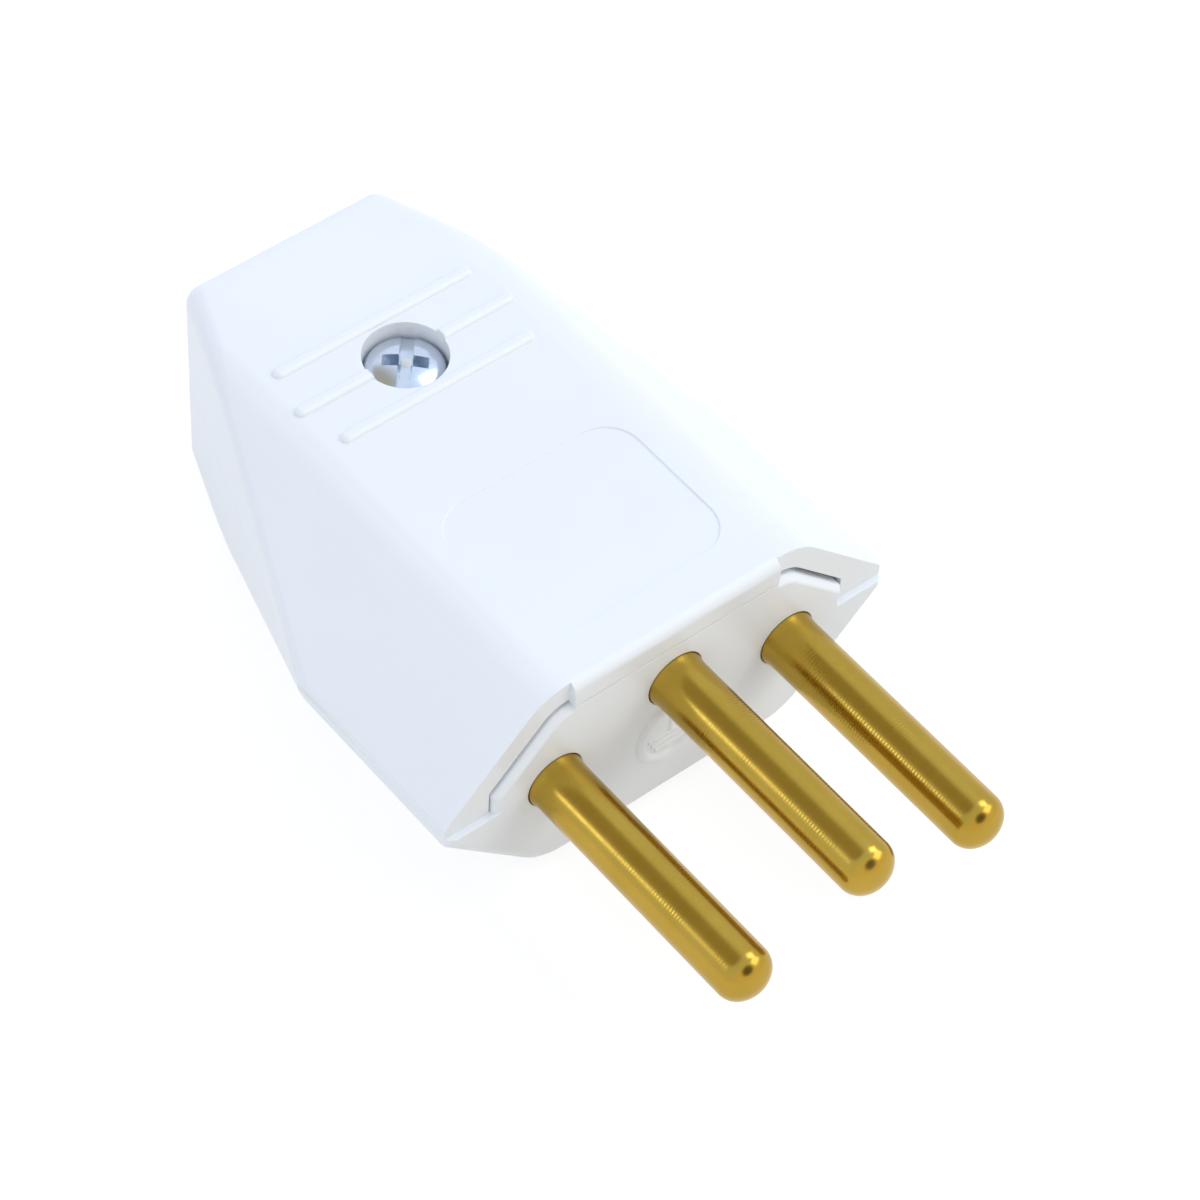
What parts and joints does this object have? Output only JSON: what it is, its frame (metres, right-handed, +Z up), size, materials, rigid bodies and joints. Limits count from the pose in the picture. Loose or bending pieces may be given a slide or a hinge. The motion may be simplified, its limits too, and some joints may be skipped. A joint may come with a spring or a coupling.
{
  "type": "rewirable mains plug",
  "caption": "Rewirable round-pin mains plug with a raised earth pin, a white two-part shell closed by one screw, grip ribs on top and a rear cable entry.",
  "frame": {"origin": "on the mating face, midway between the line and neutral pins, on the parting plane of the shells", "axes": "+Y from the mating face to the cable end, so the pins point along -Y; +Z up, towards the cover screw; +X from the line pin to the neutral pin"},
  "size_m": [0.0358, 0.0616, 0.0172],
  "materials": {
    "shell_plastic": "moulded white plastic with a soft gloss",
    "pin_brass": "turned brass, bright",
    "terminal_steel": "turned steel set screws",
    "zinc_steel": "bright zinc plating with a bluish tint",
    "clamp_plastic": "moulded plastic"
  },
  "bodies": {
    "root": {"base_shell": "shell_plastic", "top_cover": "shell_plastic", "line_pin": "pin_brass", "neutral_pin": "pin_brass", "earth_pin": "pin_brass", "line_terminal_screw": "terminal_steel", "neutral_terminal_screw": "terminal_steel", "earth_terminal_screw": "terminal_steel", "cover_screw": "zinc_steel", "cover_nut": "zinc_steel", "cord_clamp": "clamp_plastic", "clamp_screw_left": "zinc_steel", "clamp_screw_right": "zinc_steel"}
  },
  "joints": []
}
